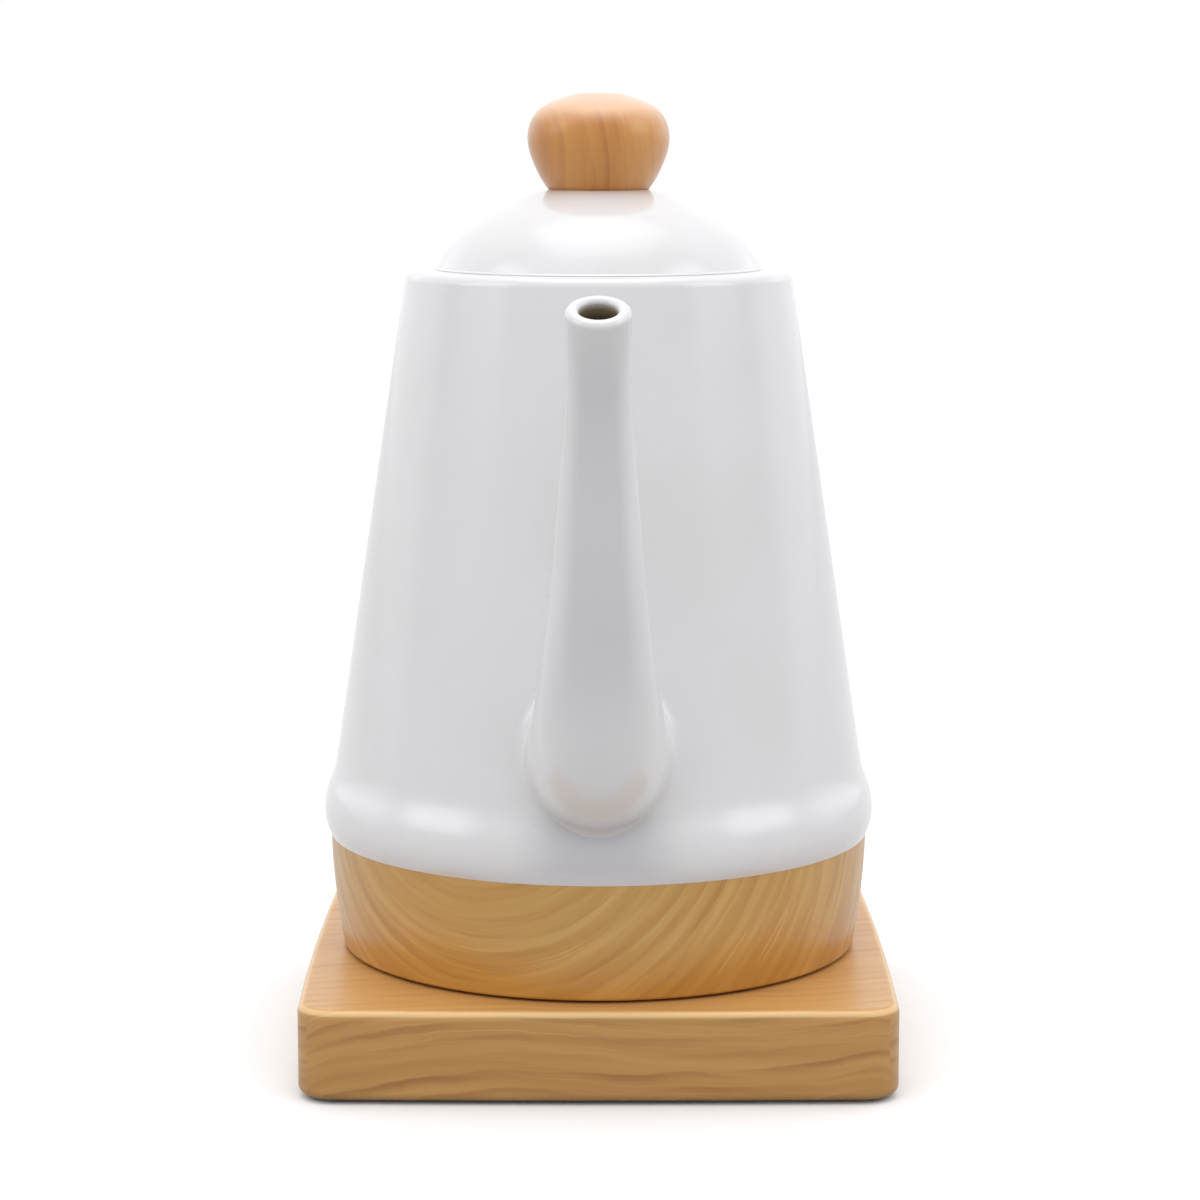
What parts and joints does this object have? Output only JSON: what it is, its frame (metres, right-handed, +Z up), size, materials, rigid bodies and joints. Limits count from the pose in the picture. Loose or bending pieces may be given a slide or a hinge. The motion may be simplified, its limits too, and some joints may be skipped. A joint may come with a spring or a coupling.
{
  "type": "electric gooseneck kettle",
  "caption": "Cordless ceramic gooseneck kettle with a domed lid and wooden knob, a wood-look heater ring, a rear handle and switch, standing on a square wood-look power base.",
  "frame": {"origin": "on the table under the middle of the base's square, on the kettle's axis", "axes": "+Z up, spout towards -Y, handle, switch and cord inlet towards +Y"},
  "size_m": [0.16, 0.234, 0.2615],
  "materials": {
    "base_wood": "satin wood-look print",
    "ring_wood": "satin wood-look print",
    "knob_wood": "clear lacquered",
    "grip_wood": "clear lacquered",
    "glaze": "glossy white glaze",
    "dark_plastic": "fine matte",
    "white_plastic": "fine matte",
    "grey_plastic": "fine matte",
    "lever_plastic": "satin",
    "rubber": "matte",
    "silicone": "matte translucent",
    "steel": "brushed",
    "screw_steel": "zinc plated",
    "aluminium": "plain",
    "brass": "plain",
    "lens": "clear amber",
    "lamp": "clear",
    "insulation": "wire insulation"
  },
  "bodies": {
    "base": {"base_cover": "base_wood", "base_plate": "dark_plastic", "base_feet": "rubber", "base_screws": "screw_steel", "base_connector": "dark_plastic", "base_contacts": "brass", "connector_screws": "screw_steel", "terminal_block": "white_plastic", "base_leads": "insulation", "cord_gland": "rubber"},
    "shroud": {"connector_shroud": "grey_plastic"},
    "kettle": {"housing_ring": "ring_wood", "body_collar": "white_plastic", "bottom_cover": "dark_plastic", "bottom_cover_screws": "screw_steel", "kettle_feet": "rubber", "heater_plate": "steel", "heater_seal": "silicone", "diffuser_plate": "aluminium", "heater_element": "steel", "heater_terminals": "brass", "control_block": "white_plastic", "bimetal_discs": "brass", "control_screws": "screw_steel", "kettle_connector": "dark_plastic", "socket_contacts": "brass", "kettle_leads": "insulation", "switch_pin": "steel", "indicator_lens": "lens", "indicator_lamp": "lamp", "ceramic_body": "glaze", "ceramic_spout": "glaze", "handle_grip": "grip_wood", "handle_plugs": "grip_wood", "handle_ferrules": "steel", "handle_inserts": "brass", "handle_screws": "screw_steel"},
    "switch": {"switch_lever": "lever_plastic"},
    "plunger": {"switch_plunger": "white_plastic"},
    "lid": {"lid_shell": "glaze", "lid_seal": "silicone", "lid_knob": "knob_wood", "knob_insert": "brass", "lid_washer": "silicone", "lid_screw": "screw_steel"}
  },
  "joints": [
    {"name": "kettle_swivel", "type": "hinge", "parent": "base", "child": "shroud", "pos_m": [0, 0, 0.03], "axis": [0, 0, 1], "continuous": true},
    {"name": "kettle_lift", "type": "slide", "parent": "shroud", "child": "kettle", "axis": [0, 0, 1], "range_m": [0, 0.1]},
    {"name": "lid_lift", "type": "slide", "parent": "kettle", "child": "lid", "axis": [0, 0, 1], "range_m": [0, 0.08]},
    {"name": "switch_rock", "type": "hinge", "parent": "kettle", "child": "switch", "pos_m": [0, 0.0605, 0.044], "axis": [-1, 0, 0], "range_deg": [0, 12]},
    {"name": "plunger_slide", "type": "slide", "parent": "kettle", "child": "plunger", "axis": [0, 0, 1], "range_m": [0, 0.0032]}
  ],
  "couplings": [
    {"joint": "plunger_slide", "follows": "switch_rock", "m_per_rad": 0.015}
  ]
}
